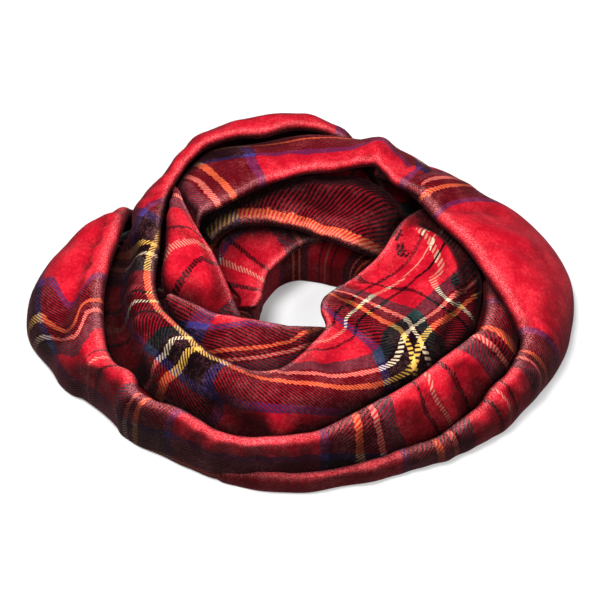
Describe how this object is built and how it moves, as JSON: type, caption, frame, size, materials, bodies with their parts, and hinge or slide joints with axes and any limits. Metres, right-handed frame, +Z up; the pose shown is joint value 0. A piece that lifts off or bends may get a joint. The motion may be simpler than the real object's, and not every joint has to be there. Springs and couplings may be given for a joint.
{
  "type": "infinity scarf",
  "caption": "Endless loop scarf of plush tartan cloth, wound twice into a soft ring round an open neck hole and laid flat.",
  "frame": {"origin": "on the table, under the middle of the ring's outer box", "axes": "+Z up from the table, -Y towards the side that is seen in front, +X to the right of it; the neck hole lies a little in front of the middle"},
  "size_m": [0.3892, 0.3162, 0.068],
  "materials": {
    "plush_outer": "red tartan plush with a soft nap",
    "plush_inner": "red tartan plush with a soft nap, darker where it is folded in",
    "plush_hidden": "the same plush in deep shade between the turns"
  },
  "bodies": {
    "root": {"back_band": "plush_outer", "right_lobe": "plush_outer", "front_edge": "plush_outer", "front_band": "plush_outer", "left_lobe": "plush_outer", "right_roll": "plush_inner", "front_roll": "plush_inner", "left_roll": "plush_inner", "back_edge": "plush_inner", "inner_left": "plush_inner", "inner_front": "plush_inner", "back_roll": "plush_inner", "back_inner_fold": "plush_inner", "hidden_layers": "plush_hidden"}
  },
  "joints": []
}
